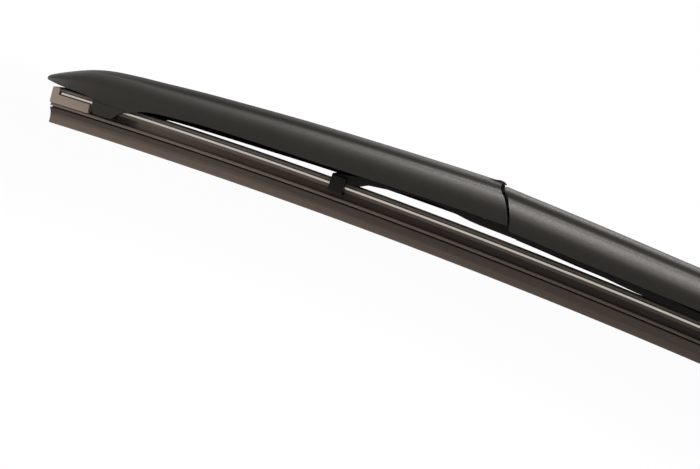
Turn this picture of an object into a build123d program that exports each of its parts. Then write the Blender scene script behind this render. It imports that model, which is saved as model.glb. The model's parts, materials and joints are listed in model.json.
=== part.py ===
# Covered-lever wiper blade: a bowed rubber on steel strips, two yokes, a centre lever and three covers.
# Millimetres. +X runs along the blade, +Y to the rear, +Z away from the glass.
# The origin is the middle of the arm pin. The blade is bowed, so most places are given by
# how far they lie along the lip's arc from the middle and how high they stand over the lip.

import os
from math import cos, degrees, sin

from build123d import *

os.makedirs("parts", exist_ok=True)

# Blade as a whole
blade_length = 600.0
bow_radius = 2370.0
arm_pin_height = 24.0

# Clearances
running_gap = 0.06
slot_gap = 0.05
side_gap = 0.2
free_gap = 0.3

# Rubber section, heights over the lip
lip_half = 0.35
lip_height = 2.0
body_half = 2.5
body_height = 5.85
slit_height = 0.5
slit_half = 0.55
shoulder_half = 2.75
shoulder_top = 7.5
neck_half = 1.2
flange_bottom = 10.05
slot_floor = 11.27
head_half = 2.9
head_top = 12.9
web_half = 0.9

# Solid ends of the rubber
block_length = 15.2
block_half = 3.9
end_wall = 2.7
end_wall_rise = 0.5

# Backing strips
strip_thick = 0.8
strip_edge = 4.05
strip_end_gap = 1.0

# Yokes, pressed from sheet
yoke_sheet = 1.2
yoke_half = 4.4
yoke_eye_radius = 3.9
claw_width = 5.3
claw_sheet = 1.25
claw_bottom = 8.85
claw_top = 15.4
outer_claw = 189.3
inner_claw = 55.0

# Yoke pivots
pivot_along = 137.0
pivot_height = 21.6
pivot_pin_radius = 1.8
pin_reach = 7.8
bush_wall = 0.9
bush_flange_radius = 3.1
bush_flange_thick = 0.7

# Centre lever, two rails and two bridges
lever_sheet = 1.2
lever_half = 6.9
lever_eye_radius = 2.6
rail_bottom = 18.4
rail_top = 22.3
bridge_outer_end = 108.0
bridge_tabs = (45.0, 96.0)
bridge_tab = 8.0
arm_pin_radius = 2.5
arm_cheek_radius = 4.0
arm_cheek_foot = 11.0

# Covers
cover_wall = 1.3
tip_overhang = 4.6
tip_solid = 7.0
tip_length = 30.0
run_past_pivot = 22.0
boss_wall = 0.8
boss_skin = 0.75
snap_slit = 2.6
tab_inner = 4.35
tab_outer = 5.75
tab_hook_bottom = 8.3
tongue_low = 31.25
tongue_near = 1.05
tongue_wide = 1.5
joint_past_pivot = 8.0
middle_place = 72.0
bay_half_length = 33.0
bay_half_width = 7.3
rib_thick = 1.2
rib_sink = 0.5
rib_places = (62.0, 100.0)
snap_places = (48.0, 84.0)
snap_width = 7.0
snap_reach = 2.2
snap_thick = 0.75

# Cover sections: crest height, front skirt height, half width, how far the skirt goes on below that
nose_section = (16.4, 15.3, 1.8, 0.6)
hollow_section = (20.9, 14.2, 5.0, 2.4)
root_section = (25.45, 14.4, 6.4, 4.4)
joint_section = (31.2, 18.1, 9.1, 3.3)
middle_section = (29.35, 16.95, 9.3, 3.6)
bay_section = (28.9, 16.9, 9.3, 3.6)
# the same after a place, inward from the rubber's end for the tip and from the tip's root for the run
tip_sections = (
    (-1.5, 18.0, 14.9, 3.3, 1.2),
    (6.0, 21.1, 14.3, 5.0, 2.4),
    (16.0, 24.0, 13.8, 5.9, 3.6),
)
run_sections = (
    (30.0, 27.3, 16.3, 7.2, 4.4),
    (70.0, 29.3, 17.0, 8.0, 4.4),
    (110.0, 31.0, 18.4, 8.7, 4.4),
    (155.0, 32.6, 19.9, 9.3, 4.4),
)

# Cover outlines from the front, pairs of place and height: inward from the rubber's end, tip's root or pivot
tip_edge_points = ((-8.0, 15.7), (0.0, 14.95), (17.4, 13.1), (30.6, 12.2))
rear_edge_points = ((12.0, 13.7), (30.0, 13.75), (47.0, 14.3), (110.0, 15.2), (158.0, 15.7))
arch_points = ((5.2, 14.0), (14.2, 15.4), (28.4, 16.35), (66.0, 17.0), (110.0, 18.4), (158.0, 20.0))
tab_points = ((17.1, 16.2), (17.1, 12.3), (17.6, 9.0))
tab_root_points = ((26.7, 10.0), (29.6, 12.5), (29.8, 16.2))
hook_places = (18.4, 18.6, 25.1, 25.6)
seam_points = ((-6.0, 36.5), (-1.6, 31.7), (1.1, 29.1), (3.3, 27.5), (5.4, 24.9), (7.0, 21.7), (9.4, 13.0))
centre_seam_points = (
    (0.0, 36.5), (0.5, 31.0), (1.5, 29.8), (2.2, 29.1), (4.0, 27.6), (6.1, 25.0), (7.7, 22.0), (10.2, 13.0),
)
tongue_points = ((-4.5, 31.5), (-0.6, 32.25), (1.7, 31.6))

# Arm clip, made for a hook bent from this strap
hook_width = 9.0
hook_thick = 4.0
nose_radius = 4.4
clip_tail = 15.0
clip_cheek = 0.9
clip_slit = 3.6
clip_slot = 1.2
tongue_thick = 1.8
tongue_tail = 2.5
bump_radius = 1.3
edge_break = 0.3

# Derived sizes
half_length = blade_length / 2
tip_root = half_length - tip_length
run_stretch = (tip_root - pivot_along + run_past_pivot) / run_sections[-1][0]
joint_place = pivot_along + joint_past_pivot
slot_top = slot_floor + strip_thick + 2 * slot_gap
strip_inner = web_half + slot_gap
pocket_end = half_length - end_wall
strip_end = pocket_end - strip_end_gap
claw_inner_half = strip_edge + side_gap
claw_outer_half = claw_inner_half + claw_sheet
passage_bottom = flange_bottom - 2 * slot_gap
passage_top = head_top + free_gap
bush_bore = pivot_pin_radius + running_gap
bush_radius = bush_bore + bush_wall
yoke_hole = bush_radius + slot_gap
yoke_inner_half = yoke_half - yoke_sheet
lever_inner_half = lever_half - lever_sheet
boss_inner = lever_half + side_gap
boss_width = 2 * (bush_bore + boss_wall)
clip_cheek_outer = hook_width / 2 + clip_cheek
bow_axis = Axis((0, 0, -bow_radius - arm_pin_height), (0, 1, 0))


# Place in the middle plane (X, Z), from the place along the arc and the height over the lip.
def spot(along, height):
    turn = along / bow_radius
    reach = bow_radius + height
    return (reach * sin(turn), reach * cos(turn) - bow_radius - arm_pin_height)


# The same for several pairs of place and height.
def spots(*pairs):
    return [spot(along, height) for along, height in pairs]


# Spots for pairs of place and height, counted inward from the rubber's end.
def from_end(*pairs):
    return [spot(place - half_length, height) for place, height in pairs]


# Spots counted inward from the tip's root, stretched with the run.
def from_root(*pairs):
    return [spot(place * run_stretch - tip_root, height) for place, height in pairs]


# Spots counted inward from the pivot.
def from_pivot(*pairs):
    return [spot(place - pivot_along, height) for place, height in pairs]


# Plane across the blade: its x is +Y and its y points away from the glass.
def cross_plane(along):
    turn = along / bow_radius
    x, z = spot(along, 0)
    return Plane(origin=(x, 0, z), x_dir=(0, 1, 0), z_dir=(cos(turn), 0, -sin(turn)))


# Turn about the bow's axis for a length along the lip.
def arc_degrees(length):
    return degrees(length / bow_radius)


# Band of even height along the bow, seen from the front, depth in front of the middle plane.
def bowed_band(start, end, low, high, depth=0):
    middle = (start + end) / 2
    with BuildSketch(Plane.XZ.offset(depth)) as band:
        with BuildLine():
            top = ThreePointArc(*spots((start, high), (middle, high), (end, high)))
            foot = ThreePointArc(*spots((start, low), (middle, low), (end, low)))
            Line(top @ 0, foot @ 0)
            Line(top @ 1, foot @ 1)
        make_face()
    return band.sketch


# Rubber: half the section is drawn and mirrored, then swept along the bow

with BuildPart() as wiper_rubber:
    with BuildSketch(cross_plane(-half_length)):
        with BuildLine():
            Line((0, 0), (lip_half, 0))
            Polyline(
                (lip_half, 0),
                (lip_half + 0.1, lip_height),
                (0.35 * body_half, lip_height + 0.38 * (body_height - lip_height)),
                (0.62 * body_half, lip_height + 0.68 * (body_height - lip_height)),
                (0.93 * body_half, lip_height + 0.87 * (body_height - lip_height)),
                (body_half, body_height),
                (slit_half, body_height),
                (slit_half, body_height + slit_height),
                (shoulder_half, body_height + slit_height),
                (shoulder_half, shoulder_top - 0.3),
                (shoulder_half - 0.35, shoulder_top),
                (neck_half, shoulder_top),
                (neck_half, flange_bottom),
                (head_half, flange_bottom),
                (head_half, slot_floor),
                (web_half, slot_floor),
                (web_half, slot_top),
                (head_half, slot_top),
                (head_half - 0.4, head_top),
                (0, head_top),
            )
            mirror(about=Plane.YZ)
        make_face()
    revolve(axis=bow_axis, revolution_arc=arc_degrees(blade_length))
    # the neck and the strip slots are filled at both ends
    wall_top = head_top + end_wall_rise
    for start, length, high in (
        (-half_length, block_length, slot_floor),
        (half_length - block_length, block_length, slot_floor),
        (-half_length, end_wall, wall_top),
        (pocket_end, end_wall, wall_top),
    ):
        with BuildSketch(cross_plane(start)):
            with Locations((0, (shoulder_top + high) / 2)):
                Rectangle(2 * block_half, high - shoulder_top)
        revolve(axis=bow_axis, revolution_arc=arc_degrees(length))

# Backing strips, one in each side slot

with BuildPart() as front_strip:
    with BuildSketch(cross_plane(-strip_end)):
        with Locations((-(strip_inner + strip_edge) / 2, slot_floor + slot_gap + strip_thick / 2)):
            Rectangle(strip_edge - strip_inner, strip_thick)
    revolve(axis=bow_axis, revolution_arc=arc_degrees(2 * strip_end))

with BuildPart() as rear_strip:
    mirror(front_strip.part, about=Plane.XZ)

# Yokes: a channel with its web up, and a claw round the rubber's head at each end

claw_out = -outer_claw - claw_width / 2
claw_in = -inner_claw + claw_width / 2
eye_top = pivot_height + yoke_eye_radius
channel_foot = claw_top - yoke_sheet


# Place and height in a yoke: share of the way from the pivot to the outer (-) or inner claw, share of a rise.
def yoke_spot(share, low, rise_share):
    reach = pivot_along - inner_claw if share > 0 else outer_claw - pivot_along
    return (share * reach - pivot_along, low + rise_share * (eye_top - low))


yoke_top = (
    (claw_out, claw_top),
    yoke_spot(-0.688, claw_top, 0.317),
    yoke_spot(-0.344, claw_top, 0.693),
    yoke_spot(-0.134, claw_top, 0.931),
    yoke_spot(0, claw_top, 1),
    yoke_spot(0.073, claw_top, 0.901),
    yoke_spot(0.207, claw_top, 0.584),
    yoke_spot(0.378, claw_top, 0.307),
    yoke_spot(0.683, claw_top, 0.149),
    (claw_in, claw_top),
)
yoke_foot = (
    (claw_in, channel_foot),
    yoke_spot(0.854, channel_foot, 0.022),
    yoke_spot(0.512, channel_foot, 0.071),
    yoke_spot(0.305, channel_foot, 0.128),
    yoke_spot(0, channel_foot, 0.142),
    yoke_spot(-0.115, channel_foot, 0.164),
    yoke_spot(-0.268, channel_foot, 0.257),
    yoke_spot(-0.459, channel_foot, 0.265),
    yoke_spot(-0.669, channel_foot, 0.177),
    yoke_spot(-0.841, channel_foot, 0.071),
    (claw_out, channel_foot),
)

with BuildPart() as left_yoke:
    with BuildSketch(Plane.XZ):
        with BuildLine():
            top = Polyline(*spots(*yoke_top))
            foot = Spline(*spots(*yoke_foot))
            Line(top @ 1, foot @ 0)
            Line(foot @ 1, top @ 0)
        make_face()
    extrude(amount=yoke_half, both=True)
    # hollow under the web
    with BuildSketch(Plane.XZ):
        with BuildLine():
            roof = Polyline(*spots(*[(along, height - yoke_sheet) for along, height in yoke_top]))
            Polyline(roof @ 1, spot(claw_in, 0), spot(claw_out, 0), roof @ 0)
        make_face()
    extrude(amount=yoke_inner_half, both=True, mode=Mode.SUBTRACT)
    for claw in (-outer_claw, -inner_claw):
        with BuildSketch(cross_plane(claw - claw_width / 2)):
            with Locations((0, (claw_bottom + claw_top) / 2)):
                outline = Rectangle(2 * claw_outer_half, claw_top - claw_bottom)
            chamfer(outline.vertices(), 2 * edge_break)
            with Locations((0, (passage_bottom + passage_top) / 2)):
                Rectangle(2 * claw_inner_half, passage_top - passage_bottom, mode=Mode.SUBTRACT)
            with Locations((0, claw_bottom)):
                Rectangle(2 * (neck_half + free_gap), 2 * (flange_bottom - claw_bottom), mode=Mode.SUBTRACT)
        extrude(amount=claw_width)
    with BuildSketch(Plane.XZ):
        with Locations(spot(-pivot_along, pivot_height)):
            Circle(yoke_hole)
    extrude(amount=yoke_half, both=True, mode=Mode.SUBTRACT)

with BuildPart() as right_yoke:
    mirror(left_yoke.part, about=Plane.YZ)

# Pivot pins, held in the rails, and the bushes that the yokes turn on

pivot_spot = spot(-pivot_along, pivot_height)
far_pivot_spot = spot(pivot_along, pivot_height)

with BuildPart() as left_pivot_pin:
    with BuildSketch(Plane.XZ):
        with Locations(pivot_spot):
            Circle(pivot_pin_radius)
    extrude(amount=pin_reach, both=True)

with BuildPart() as right_pivot_pin:
    mirror(left_pivot_pin.part, about=Plane.YZ)

with BuildPart() as left_front_bush:
    with BuildSketch(Plane.XZ.offset(yoke_inner_half)):
        with Locations(pivot_spot):
            Circle(bush_radius)
    extrude(amount=yoke_sheet + slot_gap + bush_flange_thick)
    with BuildSketch(Plane.XZ.offset(yoke_half + slot_gap)):
        with Locations(pivot_spot):
            Circle(bush_flange_radius)
    extrude(amount=bush_flange_thick)
    with BuildSketch(Plane.XZ):
        with Locations(pivot_spot):
            Circle(bush_bore)
    extrude(amount=lever_half, mode=Mode.SUBTRACT)

with BuildPart() as left_rear_bush:
    mirror(left_front_bush.part, about=Plane.XZ)

with BuildPart() as right_front_bush:
    mirror(left_front_bush.part, about=Plane.YZ)

with BuildPart() as right_rear_bush:
    mirror(left_rear_bush.part, about=Plane.YZ)

# Centre lever: two side rails with eyes for the pins and raised cheeks at the arm pin, joined by bridges

with BuildPart() as front_rail:
    rail = bowed_band(-pivot_along, pivot_along, rail_bottom, rail_top, lever_inner_half)
    extrude(to_extrude=rail, amount=lever_sheet)
    with BuildSketch(Plane.XZ.offset(lever_inner_half)):
        with Locations(pivot_spot, far_pivot_spot):
            Circle(lever_eye_radius)
        Circle(arm_cheek_radius)
        with BuildLine():
            Polyline(
                (-arm_cheek_radius, 0),
                spot(-arm_cheek_foot, rail_top - 0.5),
                spot(arm_cheek_foot, rail_top - 0.5),
                (arm_cheek_radius, 0),
                close=True,
            )
        make_face()
    extrude(amount=lever_sheet)
    with BuildSketch(Plane.XZ.offset(lever_inner_half)):
        with Locations(pivot_spot, far_pivot_spot):
            Circle(pivot_pin_radius)
        Circle(arm_pin_radius)
    extrude(amount=lever_sheet, mode=Mode.SUBTRACT)
    # notches for the bridges' tabs
    for along in bridge_tabs:
        for place in (-along, along):
            tab_ends = (place - bridge_tab / 2, place + bridge_tab / 2)
            notch = bowed_band(*tab_ends, rail_top - lever_sheet, rail_top, lever_inner_half)
            extrude(to_extrude=notch, amount=lever_sheet, mode=Mode.SUBTRACT)

with BuildPart() as rear_rail:
    mirror(front_rail.part, about=Plane.XZ)

with BuildPart() as left_bridge:
    plate = bowed_band(-bridge_outer_end, -bay_half_length, rail_top - lever_sheet, rail_top)
    extrude(to_extrude=plate, amount=lever_inner_half, both=True)
    for along in bridge_tabs:
        tab_ends = (-along - bridge_tab / 2, -along + bridge_tab / 2)
        tab = bowed_band(*tab_ends, rail_top - lever_sheet, rail_top)
        extrude(to_extrude=tab, amount=lever_half, both=True)

with BuildPart() as right_bridge:
    mirror(left_bridge.part, about=Plane.YZ)

with BuildPart() as arm_pin:
    with BuildSketch(Plane.XZ):
        Circle(arm_pin_radius)
    extrude(amount=lever_half + slot_gap, both=True)


# Outside of a cover at one place: skirt, domed flank, hollow rise to the crest, arched back.
def cover_section(along, crest, base, half, skirt):
    rise = crest - base
    foot = base - skirt

    def at(across, up):
        return (across * half, base + up * rise)

    with BuildSketch(cross_plane(along)) as section:
        with BuildLine():
            Polyline((-half, foot), at(-0.965, 0.33), at(-0.885, 0.46), at(-0.75, 0.55), at(-0.5, 0.66))
            Polyline(at(-0.5, 0.66), at(-0.2, 0.748), at(-0.115, 0.83), at(-0.05, 0.92), at(0.08, 0.985))
            Polyline(at(0.08, 0.985), at(0.2, 1), at(0.33, 0.97), at(0.53, 0.855), at(0.72, 0.7))
            Polyline(at(0.72, 0.7), at(0.88, 0.53), at(0.97, 0.36), (half, foot), (-half, foot))
        make_face()
    return section.sketch


# Inside of a cover at one place, a wall's thickness in from the outside.
def cover_hollow(along, crest, base, half, skirt):
    rise = crest - base
    inner = half - cover_wall
    foot = base - skirt - cover_wall

    def at(across, up):
        return (across * inner, base + up * rise)

    with BuildSketch(cross_plane(along)) as section:
        with BuildLine():
            Polyline((-inner, foot), at(-0.99, 0.3), at(-0.9, 0.42), at(-0.72, 0.5), at(0.06, 0.64))
            Polyline(at(0.06, 0.64), at(0.8, 0.53), at(0.94, 0.46), at(1, 0.34), (inner, foot))
            Line((inner, foot), (-inner, foot))
        make_face()
    return section.sketch


# each station of a loft is a place along the blade and its section
tip_stations = (
    (-half_length - tip_overhang, *nose_section),
    *[(place - half_length, *section) for place, *section in tip_sections],
    (-tip_root, *root_section),
)
run_stations = (
    (-tip_root, *root_section),
    *[(place * run_stretch - tip_root, *section) for place, *section in run_sections],
)
tip_hollows = ((tip_solid - half_length, *hollow_section),) + tip_stations[3:]

with BuildPart() as left_cover:
    loft(sections=[cover_section(*station) for station in tip_stations])
    loft(sections=[cover_section(*station) for station in run_stations])
    loft(sections=[cover_hollow(*station) for station in tip_hollows], mode=Mode.SUBTRACT)
    loft(sections=[cover_hollow(*station) for station in run_stations], mode=Mode.SUBTRACT)
    # bearings for the ends of the pivot pin
    for side in (-1, 1):
        with BuildSketch(Plane.XZ.offset(side * boss_inner)):
            with Locations(pivot_spot):
                Rectangle(boss_width, boss_width)
        extrude(amount=side * (pin_reach + boss_skin / 2 - boss_inner))
    # lower edge: along the rubber's head at the tip, then an arch in front and a lower line at the rear
    for side, edge_points in ((1, arch_points), (-1, rear_edge_points)):
        with BuildSketch(Plane.XZ):
            with BuildLine():
                tip_edge = Spline(*from_end(*tip_edge_points))
                edge = Spline(tip_edge @ 1, *from_root(*edge_points))
                below = from_root((edge_points[-1][0], 0)) + from_end((tip_edge_points[0][0], 0))
                Polyline(edge @ 1, *below, tip_edge @ 0)
            make_face()
        extrude(amount=side * 2 * bay_half_width, mode=Mode.SUBTRACT)
    # slanted end at the joint
    with BuildSketch(Plane.XZ):
        with BuildLine():
            seam = Spline(*from_pivot(*seam_points))
            past = 2 * run_past_pivot
            inside = from_pivot((past, seam_points[-1][1]), (past, seam_points[0][1]))
            Polyline(seam @ 1, *inside, seam @ 0)
        make_face()
    extrude(amount=2 * bay_half_width, both=True, mode=Mode.SUBTRACT)
    # blind bores with a slit below, to snap over the pin
    with BuildSketch(Plane.XZ):
        with Locations(pivot_spot):
            Circle(bush_bore)
            with Locations((0, -2)):
                Rectangle(snap_slit, 4)
    extrude(amount=pin_reach + slot_gap, both=True, mode=Mode.SUBTRACT)
    # tip claw: a tab on each side with a hook under the rubber's flange
    for side in (-1, 1):
        with BuildSketch(Plane.XZ.offset(side * tab_inner)):
            with BuildLine():
                Polyline(
                    *from_end(*tab_points),
                    *from_end((hook_places[1], tab_hook_bottom), (hook_places[2], tab_hook_bottom)),
                    *from_end(*tab_root_points),
                    close=True,
                )
            make_face()
        extrude(amount=side * (tab_outer - tab_inner))
        with BuildSketch(Plane.XZ.offset(side * (neck_half + free_gap))):
            with BuildLine():
                Polyline(
                    *from_end((hook_places[0], passage_bottom), (hook_places[1], tab_hook_bottom)),
                    *from_end((hook_places[2], tab_hook_bottom), (hook_places[3], passage_bottom)),
                    close=True,
                )
            make_face()
        extrude(amount=side * (tab_outer - side_gap - neck_half - free_gap))
    # tongue on the crest that closes the joint
    with BuildSketch(Plane.XZ.offset(-tongue_near)):
        with BuildLine():
            crown = ThreePointArc(*from_pivot(*tongue_points))
            root = from_pivot((tongue_points[-1][0], tongue_low), (tongue_points[0][0], tongue_low))
            Polyline(crown @ 1, *root, crown @ 0)
        make_face()
    extrude(amount=-tongue_wide)

with BuildPart() as right_cover:
    mirror(left_cover.part, about=Plane.YZ)

centre_stations = (
    (-joint_place, *joint_section),
    (-middle_place, *middle_section),
    (0, *bay_section),
    (middle_place, *middle_section),
    (joint_place, *joint_section),
)

with BuildPart() as centre_cover:
    loft(sections=[cover_section(*station) for station in centre_stations])
    loft(sections=[cover_hollow(*station) for station in centre_stations], mode=Mode.SUBTRACT)
    # the front skirt ends higher than the rear one
    with BuildSketch(Plane.XZ):
        with BuildLine():
            front_edge = Spline(*spots(*[(along, base) for along, crest, base, *rest in centre_stations]))
            Polyline(front_edge @ 1, spot(joint_place, 0), spot(-joint_place, 0), front_edge @ 0)
        make_face()
    extrude(amount=2 * bay_half_width, mode=Mode.SUBTRACT)
    # cross ribs that stand on the bridges, the inner pair closing the bay's ends
    bay_crest, bay_skirt, bay_half = bay_section[:3]
    for along in (bay_half_length + rib_thick, *rib_places):
        crest = bay_crest + (middle_section[0] - bay_crest) * (along / middle_place) ** 2
        rib_size = (crest + rib_sink, bay_skirt, bay_half + rib_sink / 2, -cover_wall)
        for place in (-along, along):
            extrude(to_extrude=cover_hollow(place - rib_thick / 2, *rib_size), amount=rib_thick)
    lever_room = bowed_band(-bridge_outer_end, bridge_outer_end, head_top, rail_top + slot_gap)
    extrude(to_extrude=lever_room, amount=boss_inner, both=True, mode=Mode.SUBTRACT)
    # open bay for the arm
    with BuildSketch(Plane.XY):
        Rectangle(2 * bay_half_length, 2 * bay_half_width)
    extrude(amount=2 * arm_pin_height, both=True, mode=Mode.SUBTRACT)
    # snap lips under the lever's rails
    lip_height_mid = rail_bottom - side_gap - snap_thick / 2
    lip_across = lever_half + free_gap
    for along in snap_places:
        for place in (-along, along):
            with BuildSketch(cross_plane(place - snap_width / 2)):
                with Locations((-lip_across, lip_height_mid), (lip_across, lip_height_mid)):
                    Rectangle(snap_reach, snap_thick)
            extrude(amount=snap_width)
    # slanted ends at the joints
    with BuildSketch(Plane.XZ):
        with BuildLine():
            seam = Spline(*from_pivot(*centre_seam_points))
            low, high = centre_seam_points[-1][1], centre_seam_points[0][1]
            past = -2 * joint_past_pivot
            Polyline(seam @ 1, *from_pivot((past, low), (past, high)), seam @ 0)
        make_face()
        mirror(about=Plane.YZ)
    extrude(amount=2 * bay_half_width, both=True, mode=Mode.SUBTRACT)

# Arm clip: a core that the hook bends round, cheeks beside the hook and a sprung lock tongue

with BuildPart() as arm_clip:
    with BuildSketch(Plane.XZ):
        Circle(nose_radius)
        with Locations((clip_tail / 2, 0)):
            Rectangle(clip_tail, 2 * nose_radius)
    extrude(amount=hook_width / 2, both=True)
    for side in (-1, 1):
        with BuildSketch(Plane.XZ.offset(side * hook_width / 2)):
            with BuildLine():
                Polyline(
                    (-nose_radius - 1.6, -nose_radius),
                    (-nose_radius - 1.6, 4),
                    (-1, nose_radius + hook_thick),
                    (clip_tail, nose_radius + hook_thick),
                    (clip_tail, -nose_radius),
                    close=True,
                )
            make_face()
        extrude(amount=side * clip_cheek)
    fillet(arm_clip.edges().filter_by(Axis.Y).group_by(Axis.Z)[-1], 1.5)
    with BuildSketch(Plane.XZ):
        Circle(arm_pin_radius + running_gap)
        with Locations((0, -nose_radius)):
            Rectangle(clip_slit, 2 * nose_radius)
    extrude(amount=clip_cheek_outer, both=True, mode=Mode.SUBTRACT)
    # the tongue is cut free from the core above it and from the cheeks beside it
    slot_low = tongue_thick - nose_radius
    with BuildSketch(Plane.XZ):
        with Locations((clip_tail, slot_low + clip_slot / 2)):
            Rectangle(2 * (clip_tail - 5), clip_slot)
    extrude(amount=hook_width / 2, both=True, mode=Mode.SUBTRACT)
    for side in (-1, 1):
        with BuildSketch(Plane.XZ.offset(side * hook_width / 2)):
            with Locations((clip_tail, slot_low - nose_radius / 2)):
                Rectangle(2 * (clip_tail - 5), nose_radius)
        extrude(amount=-side * 0.8, mode=Mode.SUBTRACT)
    tongue_half = hook_width / 2 - 0.8
    with BuildSketch(Plane.XZ):
        with Locations((clip_tail + tongue_tail / 2 - 0.5, slot_low - tongue_thick / 2)):
            Rectangle(tongue_tail + 1, tongue_thick)
        with Locations((10.5, -nose_radius)):
            Circle(bump_radius)
    extrude(amount=tongue_half, both=True)

for piece, name in (
    (wiper_rubber, "wiper_rubber"),
    (front_strip, "front_strip"),
    (rear_strip, "rear_strip"),
    (left_yoke, "left_yoke"),
    (right_yoke, "right_yoke"),
    (left_pivot_pin, "left_pivot_pin"),
    (right_pivot_pin, "right_pivot_pin"),
    (left_front_bush, "left_front_bush"),
    (left_rear_bush, "left_rear_bush"),
    (right_front_bush, "right_front_bush"),
    (right_rear_bush, "right_rear_bush"),
    (front_rail, "front_rail"),
    (rear_rail, "rear_rail"),
    (left_bridge, "left_bridge"),
    (right_bridge, "right_bridge"),
    (arm_pin, "arm_pin"),
    (left_cover, "left_cover"),
    (right_cover, "right_cover"),
    (centre_cover, "centre_cover"),
    (arm_clip, "arm_clip"),
):
    piece.part.label = name
    export_step(piece.part, f"parts/{name}.step")
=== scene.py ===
import json
import math

import bmesh
import bpy
import numpy as np
from mathutils import Matrix, Vector


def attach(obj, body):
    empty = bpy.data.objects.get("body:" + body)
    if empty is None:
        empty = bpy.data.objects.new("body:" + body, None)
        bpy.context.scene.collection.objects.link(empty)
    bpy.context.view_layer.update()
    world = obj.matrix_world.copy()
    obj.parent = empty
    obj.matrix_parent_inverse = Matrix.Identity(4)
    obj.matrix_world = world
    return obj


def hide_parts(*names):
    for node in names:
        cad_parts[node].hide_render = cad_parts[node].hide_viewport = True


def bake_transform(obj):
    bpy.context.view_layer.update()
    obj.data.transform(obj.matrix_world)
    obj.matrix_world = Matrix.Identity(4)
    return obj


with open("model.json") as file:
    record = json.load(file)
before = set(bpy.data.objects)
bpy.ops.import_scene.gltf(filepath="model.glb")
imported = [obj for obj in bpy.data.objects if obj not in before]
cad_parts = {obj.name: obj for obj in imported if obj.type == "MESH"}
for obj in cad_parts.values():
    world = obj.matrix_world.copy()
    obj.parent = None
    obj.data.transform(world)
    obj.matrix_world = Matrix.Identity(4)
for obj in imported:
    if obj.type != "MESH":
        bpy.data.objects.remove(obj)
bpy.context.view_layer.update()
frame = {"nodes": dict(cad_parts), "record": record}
nodes = frame["nodes"]
mm = 0.001
print("frame:", len(nodes), "nodes")

blade = {"bowRadius": 2370.0, "pinHeight": 24.0, "halfLength": 300.0}
meshing = {"weld": 2e-6, "sharpDegrees": 32, "cornerShare": 0.45}  # a corner takes at most this share of a side


# place along the lip's arc, across the blade and over the lip, turned about the bow's centre, in metres
def bowPoints(along, across, height):
    turn = along / blade["bowRadius"]
    reach = blade["bowRadius"] + height
    x = reach * np.sin(turn)
    z = reach * np.cos(turn) - blade["bowRadius"] - blade["pinHeight"]
    return np.stack(np.broadcast_arrays(x, across, z), axis=-1) * mm


# 0 at the start and before, 1 at the end and after, straight between; the end may be the smaller number
def portion(value, start, end):
    return np.clip((value - start) / (end - start), 0, 1)


# cubic Hermite through the rows of a table, with slopes from the harmonic mean so that it never overshoots
def smoothTable(x, table):
    xs, ys = np.array(table, float).T
    step = np.diff(xs)
    slope = np.diff(ys) / step
    same = slope[1:] * slope[:-1] > 0
    before = np.where(same, slope[:-1], 1)
    after = np.where(same, slope[1:], 1)
    heavy = 2 * step[1:] + step[:-1]
    light = step[1:] + 2 * step[:-1]
    middle = np.where(same, (heavy + light) / (heavy / before + light / after), 0)
    tangent = np.concatenate([slope[:1], middle, slope[-1:]])
    i = np.clip(np.searchsorted(xs, x) - 1, 0, len(xs) - 2)
    t = (x - xs[i]) / step[i]
    t2, t3 = t * t, t * t * t
    low = (2 * t3 - 3 * t2 + 1) * ys[i] + (t3 - 2 * t2 + t) * step[i] * tangent[i]
    high = (3 * t2 - 2 * t3) * ys[i + 1] + (t3 - t2) * step[i] * tangent[i + 1]
    return low + high


# smooth curve through points, sampled evenly along their chord length
def smoothCurve(points, count):
    pts = np.array(points, float)
    chord = np.concatenate([[0], np.cumsum(np.linalg.norm(np.diff(pts, axis=0), axis=1))])
    t = np.linspace(0, chord[-1], count)
    return np.stack([smoothTable(t, np.stack([chord, pts[:, k]], 1)) for k in range(2)], axis=1)


# closed outline with each corner replaced by a quadratic curve that starts and ends a radius away
def roundedOutline(points, radius, steps=4):
    p = np.array(points, float)
    back = np.roll(p, 1, axis=0) - p
    ahead = np.roll(p, -1, axis=0) - p
    backLength = np.linalg.norm(back, axis=1, keepdims=True)
    aheadLength = np.linalg.norm(ahead, axis=1, keepdims=True)
    room = meshing["cornerShare"] * np.minimum(backLength, aheadLength)
    r = np.minimum(np.reshape(radius, (-1, 1)), room)
    start = p + back / backLength * r
    end = p + ahead / aheadLength * r
    t = np.linspace(0, 1, steps)[None, :, None]
    curve = (1 - t) ** 2 * start[:, None] + 2 * t * (1 - t) * p[:, None] + t * t * end[:, None]
    return curve.reshape(-1, 2)


# quads between neighbouring rows of an index grid
def gridFaces(index):
    a, b = index[:-1, :-1], index[1:, :-1]
    c, d = index[1:, 1:], index[:-1, 1:]
    return np.stack([a, b, c, d], axis=-1).reshape(-1, 4).tolist()


# a smooth mesh out of points and faces, with near points merged, faces outward and steep edges kept sharp
def makeObject(name, points, faces, finishIndex=0):
    mesh = bpy.data.meshes.new(name)
    mesh.from_pydata(points.reshape(-1, 3).tolist(), [], faces)
    mesh.polygons.foreach_set("material_index", np.broadcast_to(finishIndex, len(faces)).astype(np.int32))
    work = bmesh.new()
    work.from_mesh(mesh)
    bmesh.ops.remove_doubles(work, verts=work.verts, dist=meshing["weld"])
    bmesh.ops.recalc_face_normals(work, faces=work.faces)
    work.to_mesh(mesh)
    work.free()
    mesh.polygons.foreach_set("use_smooth", np.ones(len(mesh.polygons), bool))
    mesh.set_sharp_from_angle(angle=math.radians(meshing["sharpDegrees"]))
    obj = bpy.data.objects.new(name, mesh)
    bpy.context.scene.collection.objects.link(obj)
    return obj


# one list of points and faces out of several
def joined(parts):
    offsets = np.cumsum([0] + [len(p.reshape(-1, 3)) for p, f in parts])
    points = np.concatenate([p.reshape(-1, 3) for p, f in parts])
    faces = [[v + int(o) for v in face] for (p, f), o in zip(parts, offsets) for face in f]
    return points, faces


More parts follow.
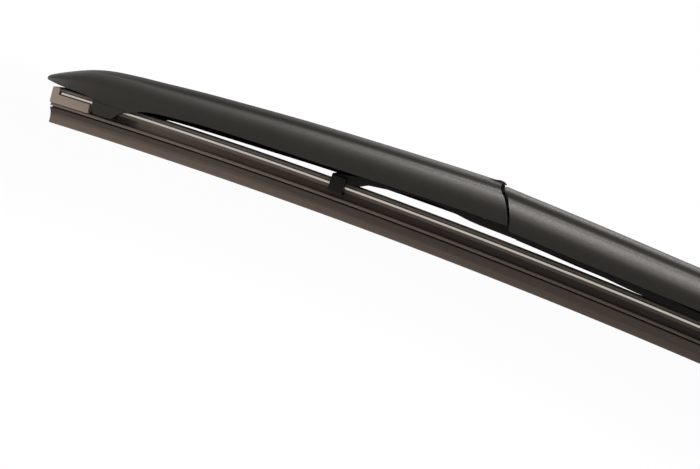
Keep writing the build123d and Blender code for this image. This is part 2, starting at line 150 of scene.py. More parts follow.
# the same parts on the other half of the blade: x changes its sign
def mirrored(parts):
    return [(p.reshape(-1, 3) * np.array([-1.0, 1.0, 1.0]), f) for p, f in parts]


# rings of points, one per row, joined into a closed body with a cap at each end
def ringBody(points):
    index = np.arange(points.shape[0] * points.shape[1]).reshape(points.shape[:2])
    wrapped = np.concatenate([index, index[:, :1]], axis=1)
    return points, gridFaces(wrapped) + [index[0].tolist(), index[-1][::-1].tolist()]


# a closed outline (across, height) carried along the bow
def bowSweep(outline, along):
    ring = np.array(outline, float)
    return ringBody(bowPoints(along[:, None], ring[None, :, 0], ring[None, :, 1]))


# a closed outline (along, height) carried straight across the blade between two depths
def sideSlab(outline, near, far):
    ring = np.array(outline, float)
    return ringBody(bowPoints(ring[None, :, 0], np.array([near, far])[:, None], ring[None, :, 1]))


# Finishes: every one reads object coordinates in metres


class Nodes:
    def __init__(self, name):
        self.material = bpy.data.materials.new(name)
        self.material.use_nodes = True
        self.tree = self.material.node_tree
        self.shader = self.tree.nodes["Principled BSDF"]
        self.place = self.tree.nodes.new("ShaderNodeTexCoord").outputs["Object"]

    def add(self, kind, **sockets):
        node = self.tree.nodes.new(kind)
        for key, value in sockets.items():
            self.put(node.inputs[key], value)
        return node

    def put(self, socket, value):
        if isinstance(value, bpy.types.NodeSocket):
            self.tree.links.new(value, socket)
        else:
            socket.default_value = value

    # noise over the surface; stretch is a factor on the pattern's rate along x, y and z
    def noise(self, scale, detail, stretch=(1, 1, 1)):
        mapping = self.add("ShaderNodeMapping", Vector=self.place, Scale=stretch)
        noise = self.add("ShaderNodeTexNoise", Vector=mapping.outputs[0], Scale=scale, Detail=detail)
        return noise.outputs["Fac"]

    # a value between start and end, where most noise lies, carried to the range between low and high
    def spread(self, value, low, high, start=0.3, end=0.7):
        carry = self.add("ShaderNodeMapRange", Value=value)
        for key, limit in (("From Min", start), ("From Max", end), ("To Min", low), ("To Max", high)):
            carry.inputs[key].default_value = limit
        return carry.outputs["Result"]

    def mixColour(self, fac, first, second):
        mix = self.add("ShaderNodeMix")
        mix.data_type = "RGBA"
        self.put(mix.inputs["Factor"], fac)
        for socket, colour in ((mix.inputs[6], first), (mix.inputs[7], second)):  # colours A and B
            self.put(socket, (*colour, 1) if isinstance(colour, tuple) else colour)
        return mix.outputs[2]

    # roughness spread by a noise of wear, plain gloss, and a bump from a noise of grain
    def surface(self, look):
        self.put(self.shader.inputs["Roughness"], self.spread(self.noise(*look["wear"]), *look["roughness"]))
        self.shader.inputs["Metallic"].default_value = look.get("metal", 0.0)
        self.shader.inputs["Specular IOR Level"].default_value = look.get("gloss", 0.5)
        self.shader.inputs["Specular Tint"].default_value = look.get("tint", (1, 1, 1, 1))
        strength, distance = look["relief"]
        bump = self.add("ShaderNodeBump", Height=self.noise(*look["grain"]), Strength=strength, Distance=distance)
        self.put(self.shader.inputs["Normal"], bump.outputs["Normal"])


finishLooks = {  # mottle, wear and grain are noises: rate, detail and stretch
    "satinCover": {
        "dark": (0.0065, 0.006, 0.0053), "light": (0.0115, 0.0105, 0.0092), "mottle": (90, 3),
        "wear": (900, 2), "roughness": (0.41, 0.49), "gloss": 0.28, "tint": (1.0, 0.93, 0.82, 1.0),
        "grain": (4200, 2), "relief": (0.12, 0.00002),
    },
    # painted shade: a darker, duller copy of the cover plastic for the faces inside the walls
    "coverInsideShaded": {
        "dark": (0.003, 0.003, 0.003), "light": (0.006, 0.006, 0.006), "mottle": (120, 3),
        "wear": (900, 2), "roughness": (0.7, 0.85), "gloss": 0.06,
        "grain": (2600, 2), "relief": (0.15, 0.00003),  # eroded mould surface
    },
    "clipPlastic": {
        "dark": (0.014, 0.014, 0.015), "light": (0.024, 0.024, 0.025), "mottle": (160, 3),
        "wear": (1200, 2), "roughness": (0.42, 0.55),
        "grain": (3800, 2), "relief": (0.18, 0.00003),
    },
    "bushNylon": {
        "dark": (0.035, 0.035, 0.037), "light": (0.055, 0.055, 0.057), "mottle": (300, 2),
        "wear": (1800, 2), "roughness": (0.4, 0.55),
        "grain": (3500, 2), "relief": (0.1, 0.00002),
    },
    "leverPaint": {
        "dark": (0.0055, 0.0043, 0.0036), "light": (0.0105, 0.0083, 0.007), "mottle": (120, 3),
        "wear": (600, 3), "roughness": (0.45, 0.6), "gloss": 0.1,
        "grain": (1500, 2), "relief": (0.15, 0.00003),  # faint orange peel
    },
    "pinSteel": {  # drawn along its axis
        "dark": (0.40, 0.40, 0.41), "light": (0.55, 0.55, 0.56), "mottle": (3000, 2, (1, 0.05, 1)),
        "wear": (3000, 2, (1, 0.05, 1)), "roughness": (0.25, 0.42), "metal": 1.0,
        "grain": (3000, 2, (1, 0.05, 1)), "relief": (0.08, 0.00001),
    },
    "stripSteel": {  # rolled along its length
        "dark": (0.44, 0.41, 0.37), "light": (0.58, 0.55, 0.50), "mottle": (1400, 2, (0.02, 1, 1)),
        "wear": (2200, 2, (0.05, 1, 1)), "roughness": (0.2, 0.32), "metal": 1.0,
        "grain": (1400, 2, (0.02, 1, 1)), "relief": (0.06, 0.00001),
    },
}
rubberLook = {
    "dark": (0.043, 0.030, 0.023), "light": (0.074, 0.054, 0.043), "mottle": (260, 3, (0.05, 1, 1)),
    # painted shade for the slit, slots and neck, and a painted pale colour where light falls
    "recessShade": (0.006, 0.0045, 0.0035), "paintedPale": (0.28, 0.225, 0.185),
    "wear": (700, 3, (0.2, 1, 1)), "roughness": (0.46, 0.62), "gloss": 0.14,
    "grain": (2600, 3, (0.4, 1, 1)), "relief": (0.2, 0.00003),
}


# two colours mixed by a mottle, over the common surface
def plainFinish(name):
    look = finishLooks[name]
    n = Nodes(name)
    n.put(n.shader.inputs["Base Color"], n.mixColour(n.noise(*look["mottle"]), look["dark"], look["light"]))
    n.surface(look)
    return n.material


# streaked rubber, mixed with the painted recess shade where the painted light falls to 0 and with a painted pale
# lit colour where it rises to 2
def bladeRubber():
    look = rubberLook
    n = Nodes("bladeRubber")
    paintedLight = n.add("ShaderNodeAttribute")
    paintedLight.attribute_name = "paintedLight"
    worn = n.mixColour(n.noise(*look["mottle"]), look["dark"], look["light"])
    shaded = n.mixColour(n.spread(paintedLight.outputs["Fac"], 0, 1, 0, 1), look["recessShade"], worn)
    paintedPale = n.mixColour(n.spread(paintedLight.outputs["Fac"], 0, 1, 1, 2), shaded, look["paintedPale"])
    n.put(n.shader.inputs["Base Color"], paintedPale)
    n.surface(look)
    return n.material


finishes = {
    "cover_plastic": plainFinish("satinCover"),
    "clip_plastic": plainFinish("clipPlastic"),
    "bush_plastic": plainFinish("bushNylon"),
    "lever_steel": plainFinish("leverPaint"),
    "pin_steel": plainFinish("pinSteel"),
    "strip_steel": plainFinish("stripSteel"),
    "blade_rubber": bladeRubber(),
}
for part in frame["record"]["subparts"]:
    node = nodes[part["node"]]
    node.data.materials.clear()
    node.data.materials.append(finishes[part["material_slot"]])
print("finishes:", len(finishes))


def dress(obj, slotName):
    obj.data.materials.append(finishes[slotName])


# Rubber and strips: each side made as an inner length and an outer length

rubber = {
    "corners": [  # half width, height, radius and painted light: 0 paints shade in slit and slots, low values paint shade in the neck, the lip is painted lighter towards its bottom, over 1 paints a pale lit colour
        (0.35, 0.0, 0.08, 1.15), (0.45, 2.0, 0.4, 1.1), (0.85, 3.4, 0.6, 0.95), (1.5, 4.55, 0.6, 0.8),  # lip
        (2.3, 5.3, 0.4, 0.7), (2.5, 5.85, 0.12, 0.6), (0.55, 5.85, 0.05, 0), (0.55, 6.35, 0.05, 0),  # slit
        (2.75, 6.35, 0.12, 1.2), (2.75, 7.2, 0.12, 1.2), (2.4, 7.5, 0.15, 0.9),  # shoulder
        (1.2, 7.5, 0.2, 0.3), (1.2, 10.05, 0.2, 0.5),  # neck
        (2.9, 10.05, 0.12, 1), (2.9, 11.27, 0.12, 1.15), (0.9, 11.27, 0.05, 0), (0.9, 12.17, 0.05, 0),  # slot
        (2.9, 12.17, 0.12, 1.4), (2.85, 12.85, 0.2, 1.5), (2.45, 13.25, 0.25, 1.4),  # head
    ],
    "cornerSteps": 3, "stations": 90,
    "cornerBlur": 0.05, "cornerFade": 3,  # painted light and shade fades from each corner by a power of its distance
    "endPaintedLight": 0.26, "endRange": (100, 300),  # painted light: paler towards the ends
    # painted light on the neck near the tips, fading to painted shade beside the claw
    "neck": (7.53, 10.2), "neckPaintedLight": 1.25, "neckRange": (110, 260), "clawPaintedShade": (272, 267),
    "blockOver": 3.0, "blockPaintedLight": 2.0,  # what stands out past this half width is the end block, given painted light
}
endBlock = {
    "over": 0.1, "length": 15.2, "half": 3.9, "low": 7.6, "high": 10.9,
    "wallLength": 2.7, "wallHigh": 13.4, "radius": 0.3,
}
strip = {
    "near": 0.95, "far": 4.05, "low": 11.32, "high": 12.12, "radius": 0.18, "end": 296.3, "stations": 60,
}
bends = {  # bodies of each bend, where it starts and ends, and which length of rubber and strips it takes
    "inner": {"bodies": ("lever", "rocker"), "bend": (4.0, 52.0), "span": (0.0, 122.0)},
    "outer": {"bodies": ("rocker", "wing"), "bend": (192.0, 272.0), "span": (122.0, None)},
}
bendHeight = 12.0


# half the profile and its mirror image, with rounded corners
def rubberOutline():
    corners = np.array(rubber["corners"], float)
    half, radius = corners[:, :2], corners[:, 2]
    whole = np.concatenate([half, half[::-1] * [-1, 1]])
    return roundedOutline(whole, np.concatenate([radius, radius[::-1]]), rubber["cornerSteps"])


# painted light and shade on each point of the rubber, by its distance from the profile's corners
def paintLightAndShade(obj):
    points = np.empty(len(obj.data.vertices) * 3)
    obj.data.vertices.foreach_get("co", points)
    x, y, z = points.reshape(-1, 3).T / mm
    out, half = np.abs(x), np.abs(y)
    height = np.hypot(x, z + blade["bowRadius"] + blade["pinHeight"]) - blade["bowRadius"]
    cornerHalf, cornerHeight, radius, paintedLight = np.array(rubber["corners"], float).T
    gap = np.hypot(half[:, None] - cornerHalf, height[:, None] - cornerHeight)
    weight = 1 / (gap + rubber["cornerBlur"]) ** rubber["cornerFade"]
    shade = (weight * paintedLight).sum(1) / weight.sum(1)
    # painted light towards the ends, a painted pale neck near the tips that stops in painted shade beside the claw,
    # and painted light on the end block
    shade = shade * (1 + rubber["endPaintedLight"] * portion(out, *rubber["endRange"]))
    paintedPaleNeck = rubber["neckPaintedLight"] * portion(out, *rubber["neckRange"]) * portion(out, *rubber["clawPaintedShade"])
    low, high = rubber["neck"]
    shade = np.where((height > low) & (height < high), np.maximum(shade, paintedPaleNeck), shade)
    shade = np.where(half > rubber["blockOver"], rubber["blockPaintedLight"], shade)
    obj.data.attributes.new("paintedLight", "FLOAT", "POINT").data.foreach_set("value", shade)


# the solid end of the rubber: a block over the neck with a wall at its outer end, just over the head's own end
def endBlockPart():
    b = endBlock
    end = -blade["halfLength"] - b["over"]
    blockEnd, wallEnd = end + b["length"], end + b["wallLength"]
    outline = [
        (end, b["low"]), (blockEnd, b["low"]), (blockEnd, b["high"]),
        (wallEnd, b["high"]), (wallEnd, b["wallHigh"]), (end, b["wallHigh"]),
    ]
    return sideSlab(roundedOutline(outline, b["radius"]), -b["half"], b["half"])


# a rectangle with rounded corners, on one side of the rubber
def stripOutline(face):
    near, far = strip["near"] * face, strip["far"] * face
    corners = [(near, strip["low"]), (far, strip["low"]), (far, strip["high"]), (near, strip["high"])]
    return roundedOutline(corners, strip["radius"])


# parts made for the left half, mirrored for the right one
def sideObject(name, parts, side):
    return makeObject(name, *joined(parts if side < 0 else mirrored(parts)))


def finishBent(obj, slotName, node, side, bend):
    dress(obj, slotName)
    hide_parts(node)
    ends = [Vector(bowPoints(np.array(side * s), 0.0, np.array(bendHeight)).tolist()) for s in bend["bend"]]
    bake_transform(obj)


for side, sideName in ((-1, "left"), (1, "right")):
    for bendName, bend in bends.items():
        start, end = bend["span"]
        places = -np.linspace(end or blade["halfLength"], start, rubber["stations"])
        parts = [bowSweep(rubberOutline(), places)]
        if bendName == "outer":
            parts.append(endBlockPart())
        piece = sideObject(f"{sideName}{bendName.title()}Rubber", parts, side)
        paintLightAndShade(piece)
        finishBent(piece, "blade_rubber", "wiper_rubber", side, bend)
        places = -np.linspace(end or strip["end"], start, strip["stations"])
        for face, faceName in ((-1, "front"), (1, "rear")):
            name = f"{sideName}{bendName.title()}{faceName.title()}Strip"
            piece = sideObject(name, [bowSweep(stripOutline(face), places)], side)
            finishBent(piece, "strip_steel", faceName + "_strip", side, bend)
print("rubber and strips done")

# Covers: a section with skirt, flank, crest and back, scaled along the blade by tables of place and size

section = {
    "outer": [
        (-0.983, 0.0), (-0.977, 0.16), (-0.96, 0.27), (-0.915, 0.38), (-0.835, 0.482), (-0.723, 0.571),
        (-0.58, 0.648), (-0.414, 0.71), (-0.231, 0.76), (-0.17, 0.788), (-0.125, 0.826), (-0.094, 0.87),
        (-0.05, 0.91), (0.02, 0.948), (0.11, 0.982), (0.2, 1.0), (0.29, 0.985), (0.37, 0.945),
        (0.52, 0.86), (0.72, 0.7), (0.88, 0.53), (0.96, 0.36), (0.99, 0.18), (1.0, 0.0),
    ],
    "centre": [  # the same with a taller step
        (-0.983, 0.0), (-0.977, 0.16), (-0.96, 0.262), (-0.915, 0.365), (-0.835, 0.462), (-0.723, 0.545),
        (-0.58, 0.615), (-0.414, 0.675), (-0.26, 0.717), (-0.2, 0.745), (-0.16, 0.785), (-0.13, 0.84),
        (-0.1, 0.888), (-0.055, 0.926), (0.02, 0.957), (0.11, 0.984), (0.2, 1.0), (0.29, 0.985), (0.37, 0.945),
        (0.52, 0.86), (0.72, 0.7), (0.88, 0.53), (0.96, 0.36), (0.99, 0.18), (1.0, 0.0),
    ],
    "tip": [  # plain steep flank of the beak, without the step under the crest
        (-0.983, 0.0), (-0.975, 0.2), (-0.945, 0.36), (-0.88, 0.5), (-0.785, 0.62), (-0.665, 0.72), (-0.52, 0.8),
        (-0.36, 0.865), (-0.19, 0.915), (-0.02, 0.955), (0.11, 0.985), (0.2, 1.0), (0.29, 0.985), (0.37, 0.945),
        (0.52, 0.86), (0.72, 0.7), (0.88, 0.53), (0.96, 0.36), (0.99, 0.18), (1.0, 0.0),
    ],
    "inner": [
        (-1.0, 0.0), (-1.0, 0.14), (-0.99, 0.31), (-0.9, 0.43), (-0.72, 0.515), (0.06, 0.65), (0.8, 0.545),
        (0.94, 0.47), (1.0, 0.35), (1.0, 0.16), (1.0, 0.0),
    ],
    "samples": 151, "skirtTop": 0.16, "wall": 1.3,
    "rearLap": 0.75, "rearLapFrom": 0.05, "rearLapTo": 0.35,  # the joint's rear half sits further in
    "edgeBreak": 0.16, "edgeSegments": 2, "edgeDegrees": 35,
}
outerCover = {
    "outside": "outer",
    "crest": [
        (-304.6, 16.5), (-301.5, 18.0), (-297, 19.9), (-292.7, 21.55), (-288.3, 22.95), (-283.8, 24.0),
        (-279, 24.7), (-274.6, 25.1), (-270, 25.45), (-263, 25.85), (-247, 26.9), (-229, 27.85),
        (-206.5, 29.0), (-184, 29.95), (-163, 30.85), (-141, 31.8), (-120, 32.5),
    ],
    "base": [
        (-304.6, 15.3), (-301.5, 14.9), (-294, 14.3), (-284, 13.8), (-270, 14.4), (-240, 16.3), (-200, 17.0),
        (-160, 18.4), (-115, 19.9),
    ],
    "half": [
        (-304.6, 1.8), (-301.5, 3.3), (-294, 5.0), (-284, 5.9), (-270, 6.4), (-240, 7.2), (-200, 8.0),
        (-160, 8.7), (-115, 9.3),
    ],
    "foot": [
        (-308, 15.7), (-302, 14.8), (-297, 14.3), (-289, 14.0), (-285, 13.6), (-282.6, 12.9), (-277, 12.55),
        (-269.8, 12.3), (-267.6, 12.9), (-264.8, 14.0), (-261.3, 14.75), (-255.8, 15.35), (-249.6, 15.75),
        (-241.6, 16.3), (-222, 16.75), (-204, 17.0), (-182, 17.6), (-160, 18.4), (-139, 19.1), (-112, 20.0),
    ],
    "rearFoot": [
        (-308, 15.7), (-302, 14.8), (-298.8, 14.2), (-296.6, 12.4), (-295, 11.8), (-283, 11.8), (-277, 12.1),
        (-269.8, 12.1), (-262, 12.4), (-257, 13.2), (-250, 13.45), (-240, 13.6), (-223, 13.95), (-195, 14.7),
        (-160, 15.2), (-112, 15.7),
    ],
    "seam": [  # height, and the place along the blade where the cover ends there
        (12, -127.4), (13, -127.6), (21.7, -130), (24.9, -131.6), (27.5, -133.7), (29.1, -135.8),
        (30.2, -136.5), (31.7, -136.8), (36.5, -136.9),
    ],
    "seamAt": -134.0, "tip": -304.6, "nose": 1.4, "noseLeast": 0.0025, "steep": (-298.0, -238.0),
    "solid": (-294.5, -292.0), "solidCrown": 0.12, "solidWidth": 0.6,
    "noseStations": 10, "tipStations": 110, "bodyStations": 130, "body": (-250, -128),
}
centreCover = {
    "outside": "centre",
    "crest": [(-145, 31.2), (-119, 30.45), (-98, 29.95), (-72, 29.35), (-33, 29.0), (0, 28.9)],
    "base": [(-145, 18.1), (-124, 17.75), (-98, 17.15), (-72, 16.95), (0, 16.9)],
    "half": [(-145, 9.1), (-72, 9.3), (0, 9.3)],
    "rearFoot": [(-145, 14.8), (-117, 14.0), (-103, 13.5), (-90, 13.35), (-69, 13.3), (0, 13.3)],
    "seam": [
        (12, -126.5), (13, -126.8), (22, -129.3), (25, -130.9), (27.6, -133.0), (29.1, -134.75),
        (30.2, -135.25), (31, -135.35), (36.5, -135.4),
    ],
    "seamAt": -132.0, "bay": -33.0, "stations": 110,
}


# crest, base and foot at places along the blade; the foot is the rear skirt's where rear holds
def coverHeights(cover, along, rear):
    crest = smoothTable(along, cover["crest"])
    base = smoothTable(along, cover["base"])
    foot = smoothTable(along, cover.get("foot", cover["base"]))
    return crest, base, np.where(rear, smoothTable(along, cover["rearFoot"]), foot)


# the section's rise scaled between base and crest, and below the skirt's top stretched down to the foot
def sectionHeights(up, crest, base, foot):
    knee = section["skirtTop"]
    kneeHeight = base + knee * (crest - base)
    return np.where(up < knee, foot + up / knee * (kneeHeight - foot), base + up * (crest - base))


# both grids of a cover's wall: section points scaled by half width and rise
def coverGrids(cover, along):
    crest, base, foot = coverHeights(cover, along, np.linspace(-1, 1, section["samples"]) >= 0)
    half = smoothTable(along, cover["half"])
    if "nose" in cover:  # rounded off at the tip like a quarter of an ellipse
        share = np.clip((along - cover["tip"]) / cover["nose"], 0, 1)
        shrink = np.sqrt(np.clip(1 - (1 - share) ** 2, cover["noseLeast"], 1))
        middle = 0.5 * (crest + foot)
        crest, base, foot = (middle + (v - middle) * shrink for v in (crest, base, foot))
        half = half * shrink
    across, up = smoothCurve(section[cover["outside"]], section["samples"]).T
    if "steep" in cover:  # from the beak's section to the stepped one
        share = portion(along, *cover["steep"])
        share = share * share * (3 - 2 * share)
        plain = smoothCurve(section["tip"], section["samples"]).T
        across, up = (share * v + (1 - share) * w for v, w in zip((across, up), plain))
    outer = bowPoints(along, across * half, sectionHeights(up, crest, base, foot))
    across, up = smoothCurve(section["inner"], section["samples"]).T
    width, height = half - section["wall"], sectionHeights(up, crest, base, foot)
    if "solid" in cover:  # the hollow starts behind the solid nose
        opening = np.maximum(portion(along, *cover["solid"]), cover["solidCrown"] * (1 - across ** 2))
        height = foot + (height - foot) * opening
        width = np.maximum(width, cover["solidWidth"] * half)
    return outer, bowPoints(along, across * width, height)


# where each of the section's points ends: its height near the joint looked up in the seam's table
def seamEnds(cover):
    across, up = smoothCurve(section[cover["outside"]], section["samples"]).T
    at = np.full(up.shape, cover["seamAt"])
    height = sectionHeights(up, *coverHeights(cover, at, across >= 0))
    lap = portion(across, section["rearLapFrom"], section["rearLapTo"])
    return smoothTable(height, cover["seam"]) + section["rearLap"] * lap


# a wall between two grids of the same size, closed along its feet and ends; also which faces aren't outside
def coverShell(cover, along):
    outer, inner = coverGrids(cover, along)
    rows, columns = along.shape
    outside = np.arange(rows * columns).reshape(rows, columns)
    inside = outside + rows * columns
    faces = gridFaces(outside) + gridFaces(inside[:, ::-1])
    for edge in (0, -1):
        faces += gridFaces(np.stack([outside[:, edge], inside[:, edge]]))
        faces += gridFaces(np.stack([outside[edge], inside[edge]]))
    hidden = np.arange(len(faces)) >= (rows - 1) * (columns - 1)
    return (np.concatenate([outer.reshape(-1, 3), inner.reshape(-1, 3)]), faces), hidden


# 1 for the faces hidden inside a wall, the first part, which take the painted-shade inside finish, and 0 for those
# of all other parts
def finishIndices(hidden, parts):
    return np.concatenate([hidden, np.zeros(sum(len(f) for p, f in parts[1:]))])


tipClaw = {  # a tab on each side with a thicker pad, and a hook under the rubber's flange
    "tab": {
        "outline": [(-282.9, 16.2), (-282.9, 12.3), (-282.4, 9.0), (-281.4, 8.3), (-274.9, 8.3), (-273.3, 10.0),
                    (-270.4, 12.5), (-270.2, 16.2)],
        "radius": 0.35, "near": 4.35, "far": 5.75,
    },
    "pad": {
        "outline": [(-283.2, 13.35), (-282.4, 9.0), (-281.4, 8.3), (-274.9, 8.3), (-273.3, 10.0), (-270.2, 12.35),
                    (-270.4, 12.6), (-276.1, 12.5), (-280, 12.65)],
        "radius": 0.3, "near": 5.2, "far": 6.6,
    },
    "hook": {
        "outline": [(-281.6, 9.95), (-281.4, 8.3), (-274.9, 8.3), (-274.4, 9.95)],
        "radius": 0.25, "near": 1.5, "far": 5.5,
    },
}
tongue = {  # on the crest, over the joint
    "crown": [(-141.5, 31.4), (-139.2, 31.85), (-137.6, 32.2), (-136.2, 32.05), (-135.25, 31.5)], "samples": 16,
    "under": [(-135.3, 31.3), (-137.2, 31.25), (-138.2, 30.6), (-141.5, 30.5)], "near": 0.55, "far": 2.55,
}


# an outline with rounded corners carried across one side of the blade
def sidePlate(plate, outline, side):
    return sideSlab(roundedOutline(outline, plate["radius"]), side * plate["near"], side * plate["far"])


# the wall from the tip to the seam, closer set near the tip, with its claws and tongue
def outerCoverParts():
    c = outerCover
    tip, noseEnd = c["tip"], c["tip"] + c["nose"]
    bodyStart, bodyEnd = c["body"]
    places = np.concatenate([
        tip + c["nose"] * (1 - np.cos(np.linspace(0, math.pi / 2, c["noseStations"])[:-1])),
        np.linspace(noseEnd, bodyStart, c["tipStations"])[:-1],
        np.linspace(bodyStart, bodyEnd, c["bodyStations"]),
    ])
    share = (places - tip) / (places[-1] - tip)
    wall, hidden = coverShell(c, tip + share[:, None] * (seamEnds(c) - tip)[None, :])
    claws = [sidePlate(plate, plate["outline"], side) for side in (-1, 1) for plate in tipClaw.values()]
    crown = smoothCurve(tongue["crown"], tongue["samples"])
    lap = sideSlab(np.concatenate([crown, tongue["under"]]), tongue["near"], tongue["far"])
    return [wall, *claws, lap], hidden


bayWall = {  # closes the hollow at the bay's end
    "samples": 60, "half": 8.2, "base": 16.9, "rise": 12.3, "low": 22.35, "places": (-34.8, -33.6),
}
bayRail = {  # side walls beside the bay, between the skirt and the bay's edge
    "front": [(-9.14, 16.9), (-9.02, 20.1), (-8.6, 21.5), (-7.8, 22.7), (-7.3, 23.2), (-7.3, 22.2), (-7.55, 21.9),
              (-8.0, 20.6), (-8.0, 16.9)],
    "rear": [(9.3, 13.3), (9.02, 21.2), (8.2, 23.25), (7.3, 24.55), (7.3, 22.85), (7.55, 22.3), (8.0, 21.0),
             (8.0, 13.3)],
    "radius": 0.35, "ends": (-33.2, 33.2), "stations": 24,
}


# the wall from the seam to the bay, and the upper part of the inner section as a plate across its end
def centreCoverParts():
    c = centreCover
    ends = seamEnds(c)
    share = np.linspace(0, 1, c["stations"])[:, None]
    wall, hidden = coverShell(c, ends[None, :] + share * (c["bay"] - ends)[None, :])
    across, up = smoothCurve(section["inner"], bayWall["samples"]).T
    ring = np.stack([across * bayWall["half"], bayWall["base"] + up * bayWall["rise"]], 1)
    plate = bowSweep(ring[ring[:, 1] > bayWall["low"]], np.array(bayWall["places"]))
    return [wall, plate], hidden


# both rail outlines carried along the bow from one end of the bay to the other
def bayRailParts():
    places = np.linspace(*bayRail["ends"], bayRail["stations"])
    outlines = [roundedOutline(bayRail[face], bayRail["radius"]) for face in ("front", "rear")]
    return [bowSweep(outline, places) for outline in outlines]


def finishCover(cover, node, body):
    bevel = cover.modifiers.new("edgeBreak", "BEVEL")
    bevel.width = section["edgeBreak"] * mm
    bevel.segments = section["edgeSegments"]
    bevel.limit_method = "ANGLE"
    bevel.angle_limit = math.radians(section["edgeDegrees"])
    bevel.harden_normals = True
    dress(cover, "cover_plastic")
    cover.data.materials.append(shadedInside)
    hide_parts(node)
    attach(cover, body)


# the darker painted-shade finish for the covers' inside faces
shadedInside = plainFinish("coverInsideShaded")
parts, hidden = outerCoverParts()
inside = finishIndices(hidden, parts)
finishCover(makeObject("leftOuterCover", *joined(parts), inside), "left_cover", "left_wing")
finishCover(makeObject("rightOuterCover", *joined(mirrored(parts)), inside), "right_cover", "right_wing")

parts, hidden = centreCoverParts()
rails = bayRailParts()
inside = finishIndices(hidden, parts)
inside = np.concatenate([inside, inside, np.zeros(sum(len(f) for p, f in rails))])
finishCover(makeObject("centreCover", *joined(parts + mirrored(parts) + rails), inside), "centre_cover", "lever")
print("covers done")

# Yokes: thin webs that run from each claw into the arm, in the plane of the side walls

yokeWeb = {
    "outer": [(-187.2, 14.8), (-187.2, 13.3), (-183.5, 13.5), (-181.8, 13.8), (-180.2, 14.6), (-178.8, 15.7)],
    "inner": [(-101.5, 15.3), (-95, 14.8), (-88, 14.35), (-80, 13.98), (-67, 13.68), (-57, 13.4), (-57, 14.7),
              (-80, 15.1)],
    "radius": 0.5, "near": 3.24, "far": 4.36,
}
webs = [sidePlate(yokeWeb, yokeWeb[end], face) for end in ("outer", "inner") for face in (-1, 1)]
for side, sideName in ((-1, "left"), (1, "right")):
    piece = sideObject(sideName + "YokeWeb", webs, side)
    dress(piece, "lever_steel")
    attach(piece, sideName + "_rocker")
print("yoke webs done")

# Stage: pale floor, white surroundings for the eye, soft light

stageLook = {
    "floorHeight": -0.16, "floorSize": 8.0, "floorColour": (0.8, 0.8, 0.8), "floorRoughness": 0.9,
    "floorGlow": (0.8, 1.0), "floorFade": (0.35, 1.3), "worldStrength": 0.25, "worldSeen": 1.0,
}
softboxes = {  # place, aim, size, watts, and spread in degrees
    "overheadBack": ((-0.18, 0.35, 0.82), (-0.15, 0, 0), (0.55, 0.56), 6.8, 180),
    "overheadFront": ((0.04, -0.18, 0.85), (-0.15, 0, 0), (0.66, 0.6), 7.2, 180),
    "leftBounce": ((-0.8, -0.25, -0.08), (-0.27, 0, -0.03), (0.4, 0.4), 0.9, 110),
}


# 1 for rays from the eye, straight or by way of a gloss or glass, and 0 for the rays that light a surface
def seenByEye(tree):
    path = tree.nodes.new("ShaderNodeLightPath")
    found = path.outputs["Is Camera Ray"]
    for ray in ("Is Glossy Ray", "Is Transmission Ray"):
        larger = tree.nodes.new("ShaderNodeMath")
        larger.operation = "MAXIMUM"
        tree.links.new(found, larger.inputs[0])
        tree.links.new(path.outputs[ray], larger.inputs[1])
        found = larger.outputs[0]
    return found


# the eye sees the floor mostly white with its shadows kept faint; all other rays see a plain lit floor
def paleFloor():
    n = Nodes("paleFloor")
    n.shader.inputs["Base Color"].default_value = (*stageLook["floorColour"], 1)
    n.shader.inputs["Roughness"].default_value = stageLook["floorRoughness"]
    lit = n.shader.outputs[0]
    reach = n.add("ShaderNodeVectorMath")
    reach.operation = "LENGTH"
    n.put(reach.inputs[0], n.place)
    glowStart, glowEnd = stageLook["floorGlow"]
    fade = n.spread(reach.outputs["Value"], glowStart, glowEnd, *stageLook["floorFade"])
    seen = n.tree.nodes.new("ShaderNodeMixShader")
    final = n.tree.nodes.new("ShaderNodeMixShader")
    glow = n.tree.nodes.new("ShaderNodeEmission")
    for mix, sources in ((seen, (fade, lit, glow.outputs[0])), (final, (seenByEye(n.tree), lit, seen.outputs[0]))):
        for socket, source in zip(mix.inputs, sources):
            n.put(socket, source)
    n.put(n.tree.nodes["Material Output"].inputs["Surface"], final.outputs[0])
    return n.material


floorMesh = bpy.data.meshes.new("floor")
s, z = stageLook["floorSize"], stageLook["floorHeight"]
floorMesh.from_pydata([(-s, -s, z), (s, -s, z), (s, s, z), (-s, s, z)], [], [(0, 1, 2, 3)])
floor = bpy.data.objects.new("floor", floorMesh)
bpy.context.scene.collection.objects.link(floor)
floor.data.materials.append(paleFloor())

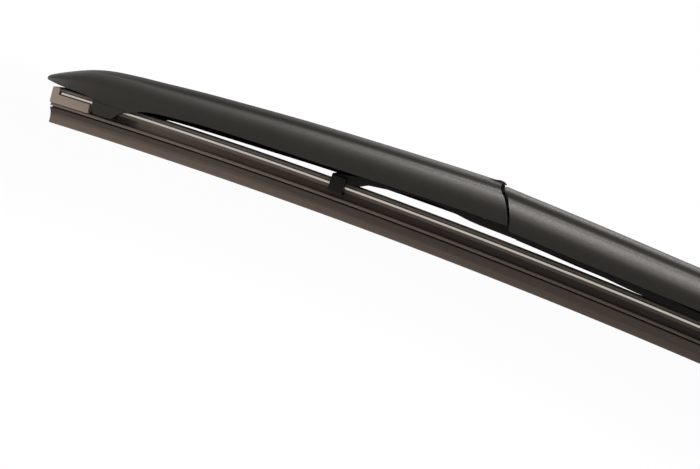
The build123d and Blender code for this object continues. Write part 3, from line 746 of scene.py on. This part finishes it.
world = bpy.data.worlds.new("studio")
world.use_nodes = True
bpy.context.scene.world = world
surround = world.node_tree.nodes["Background"]
surround.inputs["Color"].default_value = (1, 1, 1, 1)
strength = world.node_tree.nodes.new("ShaderNodeMapRange")
world.node_tree.links.new(seenByEye(world.node_tree), strength.inputs["Value"])
strength.inputs["To Min"].default_value = stageLook["worldStrength"]
strength.inputs["To Max"].default_value = stageLook["worldSeen"]
world.node_tree.links.new(strength.outputs["Result"], surround.inputs["Strength"])

for name, (place, aim, size, watts, spread) in softboxes.items():
    light = bpy.data.lights.new(name, "AREA")
    light.shape = "RECTANGLE"
    light.size, light.size_y = size
    light.energy = watts
    light.spread = math.radians(spread)
    lamp = bpy.data.objects.new(name, light)
    bpy.context.scene.collection.objects.link(lamp)
    lamp.location = place
    lamp.rotation_euler = (Vector(aim) - Vector(place)).to_track_quat("-Z", "Y").to_euler()

view = {
    "target": (-0.17998, 0.0, -0.03428), "distance": 0.5224, "azimuth": 11.24, "elevation": 8.63, "roll": 23.005,
    "focalPixels": 1500.0, "frameWidth": 700.0, "sensor": 36.0, "clip": (0.01, 50),
}
a, e, r = (math.radians(view[k]) for k in ("azimuth", "elevation", "roll"))
back = Vector((math.sin(a) * math.cos(e), -math.cos(a) * math.cos(e), math.sin(e)))
level = Vector((math.cos(a), math.sin(a), 0))
upright = back.cross(level)
imageRight = level * math.cos(r) + upright * math.sin(r)
imageUp = upright * math.cos(r) - level * math.sin(r)
camera = bpy.data.objects.new("camera", bpy.data.cameras.new("camera"))
bpy.context.scene.collection.objects.link(camera)
camera.data.sensor_width = view["sensor"]
camera.data.lens = view["sensor"] * view["focalPixels"] / view["frameWidth"]
camera.data.clip_start, camera.data.clip_end = view["clip"]
turn = Matrix((imageRight, imageUp, back)).transposed().to_4x4()
camera.matrix_world = Matrix.Translation(Vector(view["target"]) + back * view["distance"]) @ turn
bpy.context.scene.camera = camera
bpy.context.scene.view_settings.view_transform = "Standard"
print("stage and camera done")
